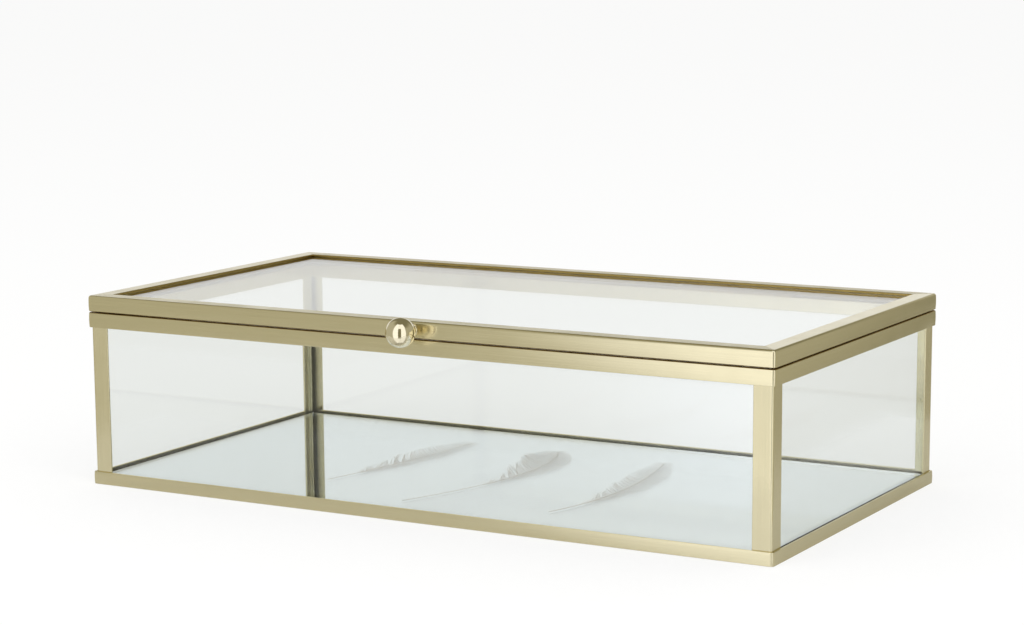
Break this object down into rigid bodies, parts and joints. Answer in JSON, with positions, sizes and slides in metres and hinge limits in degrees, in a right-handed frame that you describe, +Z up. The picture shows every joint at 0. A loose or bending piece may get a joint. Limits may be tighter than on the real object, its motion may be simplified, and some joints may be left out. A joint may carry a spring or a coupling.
{
  "type": "glass casket box",
  "caption": "Rectangular keepsake box of clear glass panes in a thin brass channel frame, with a mirrored base, a rear-hinged glass lid and a ball knob at the front.",
  "frame": {"origin": "middle of the underside, on the plane that the box stands on, under the crossing of the frame's middle lines", "axes": "+X along the long front to the viewer's right, +Y from the front to the hinged rear, +Z up"},
  "size_m": [0.234, 0.1352, 0.0619],
  "materials": {
    "brass_channel": "satin, drawn along its length",
    "brass_hinge": "satin",
    "brass_knob": "polished",
    "clear_glass": "clear float glass",
    "base_mirror": "silvered glass",
    "backing_card": "grey card",
    "base_felt": "black felt"
  },
  "bodies": {
    "case": {"base_felt": "base_felt", "base_card": "backing_card", "base_mirror": "base_mirror", "bottom_rail_front": "brass_channel", "bottom_rail_right": "brass_channel", "bottom_rail_rear": "brass_channel", "bottom_rail_left": "brass_channel", "post_front_left": "brass_channel", "post_front_right": "brass_channel", "post_rear_right": "brass_channel", "post_rear_left": "brass_channel", "wall_pane_front": "clear_glass", "wall_pane_right": "clear_glass", "wall_pane_rear": "clear_glass", "wall_pane_left": "clear_glass", "top_rail_front": "brass_channel", "top_rail_right": "brass_channel", "top_rail_rear": "brass_channel", "top_rail_left": "brass_channel", "hinge_case_leaf_left": "brass_hinge", "hinge_case_leaf_right": "brass_hinge", "hinge_pin_left": "brass_hinge", "hinge_pin_right": "brass_hinge"},
    "lid": {"lid_pane": "clear_glass", "lid_rail_front": "brass_channel", "lid_rail_right": "brass_channel", "lid_rail_rear": "brass_channel", "lid_rail_left": "brass_channel", "hinge_lid_leaf_left": "brass_hinge", "hinge_lid_leaf_right": "brass_hinge", "knob_collar": "brass_knob", "knob_stud": "brass_knob", "knob_ball": "brass_knob"}
  },
  "joints": [
    {"name": "lid_hinge", "type": "hinge", "parent": "case", "child": "lid", "pos_m": [0, 0.06165, 0.05468], "axis": [-1, 0, 0], "range_deg": [0, 105]}
  ]
}
